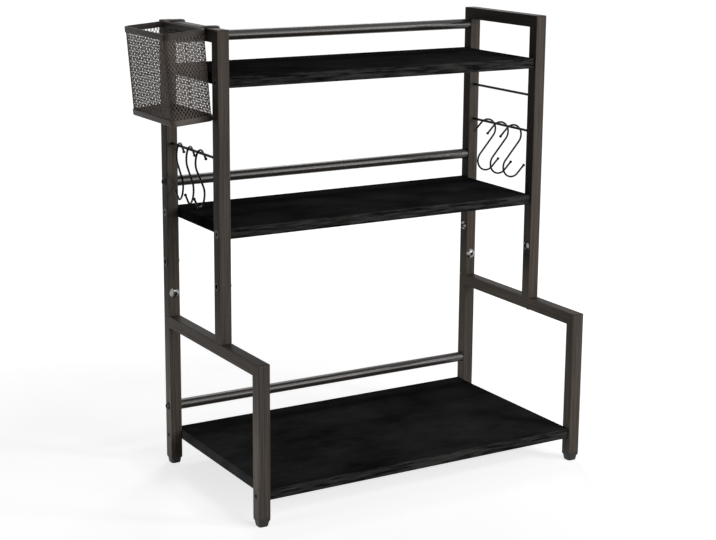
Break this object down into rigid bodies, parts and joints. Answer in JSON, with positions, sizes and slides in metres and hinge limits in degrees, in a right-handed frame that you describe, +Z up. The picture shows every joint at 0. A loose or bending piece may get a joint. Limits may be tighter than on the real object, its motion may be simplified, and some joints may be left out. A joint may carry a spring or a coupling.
{
  "type": "countertop spice rack",
  "caption": "Stepped free-standing spice rack: square-tube side frames, dark boards with back rails, side rods with S-hooks, and a hanging mesh basket.",
  "frame": {"origin": "on the floor, under the middle of the whole outline, the basket and the hooks included; the middle of the two side frames is 20.6 mm to its right", "axes": "+X to the right side frame seen from the front, +Y to the back, +Z up"},
  "size_m": [0.5232, 0.253, 0.5563],
  "materials": {
    "frame_paint": "satin dark bronze-grey powder coat with a faint drawn grain",
    "board_laminate": "near-black woodgrain laminate, low sheen",
    "rail_paint": "satin dark grey powder coat",
    "rod_paint": "satin black",
    "basket_paint": "satin brown-grey powder coat on expanded metal",
    "strap_paint": "satin dark grey",
    "hook_steel": "satin black on round wire",
    "bolt_steel": "zinc-plated steel",
    "bolt_black": "black-oxide steel",
    "inner_steel": "plain steel inside the tubes",
    "foot_plastic": "moulded dark grey plastic"
  },
  "bodies": {
    "rack": {"left_rear_leg": "frame_paint", "left_step_bar": "frame_paint", "left_front_leg": "frame_paint", "left_rear_post": "frame_paint", "left_top_bar": "frame_paint", "left_front_post": "frame_paint", "left_lower_rod": "rod_paint", "left_upper_rod": "rod_paint", "right_rear_leg": "frame_paint", "right_step_bar": "frame_paint", "right_front_leg": "frame_paint", "right_rear_post": "frame_paint", "right_top_bar": "frame_paint", "right_front_post": "frame_paint", "right_lower_rod": "rod_paint", "right_upper_rod": "rod_paint", "left_rear_foot": "foot_plastic", "left_front_foot": "foot_plastic", "right_rear_foot": "foot_plastic", "right_front_foot": "foot_plastic", "left_post_connector": "inner_steel", "right_post_connector": "inner_steel", "left_post_plug": "inner_steel", "right_post_plug": "inner_steel", "bottom_shelf": "board_laminate", "middle_shelf": "board_laminate", "top_shelf": "board_laminate", "bottom_rail": "rail_paint", "middle_rail": "rail_paint", "top_rail": "rail_paint", "rail_nuts": "inner_steel", "bottom_shelf_screws": "bolt_black", "middle_shelf_screws": "bolt_black", "top_shelf_screws": "bolt_black", "rail_bolts": "bolt_black", "lock_bolts": "bolt_steel", "post_screws": "bolt_black", "spare_bolts": "bolt_steel", "spare_inserts": "bolt_black"},
    "basket": {"basket_walls": "basket_paint", "basket_rim": "basket_paint", "basket_base": "basket_paint", "basket_front_strap": "strap_paint", "basket_rear_strap": "strap_paint"},
    "left_hook_front": {"left_hook_front": "hook_steel"},
    "left_hook_middle": {"left_hook_middle": "hook_steel"},
    "left_hook_rear": {"left_hook_rear": "hook_steel"},
    "right_hook_front": {"right_hook_front": "hook_steel"},
    "right_hook_middle": {"right_hook_middle": "hook_steel"},
    "right_hook_rear": {"right_hook_rear": "hook_steel"}
  },
  "joints": [
    {"name": "basket_lift", "type": "slide", "parent": "rack", "child": "basket", "axis": [-0.0831, 0, 0.9965], "range_m": [0, 0.009]},
    {"name": "left_hook_front_swing", "type": "hinge", "parent": "rack", "child": "left_hook_front", "pos_m": [-0.19941, 0.0333, 0.4065], "axis": [0, 1, 0], "range_deg": [-40, 40]},
    {"name": "left_hook_middle_swing", "type": "hinge", "parent": "rack", "child": "left_hook_middle", "pos_m": [-0.19941, 0.061, 0.4065], "axis": [0, 1, 0], "range_deg": [-40, 40]},
    {"name": "left_hook_rear_swing", "type": "hinge", "parent": "rack", "child": "left_hook_rear", "pos_m": [-0.19941, 0.0895, 0.4065], "axis": [0, 1, 0], "range_deg": [-40, 40]},
    {"name": "right_hook_front_swing", "type": "hinge", "parent": "rack", "child": "right_hook_front", "pos_m": [0.24059, 0.0228, 0.4065], "axis": [0, 1, 0], "range_deg": [-40, 40]},
    {"name": "right_hook_middle_swing", "type": "hinge", "parent": "rack", "child": "right_hook_middle", "pos_m": [0.24059, 0.0514, 0.4065], "axis": [0, 1, 0], "range_deg": [-40, 40]},
    {"name": "right_hook_rear_swing", "type": "hinge", "parent": "rack", "child": "right_hook_rear", "pos_m": [0.24059, 0.08, 0.4065], "axis": [0, 1, 0], "range_deg": [-40, 40]}
  ]
}
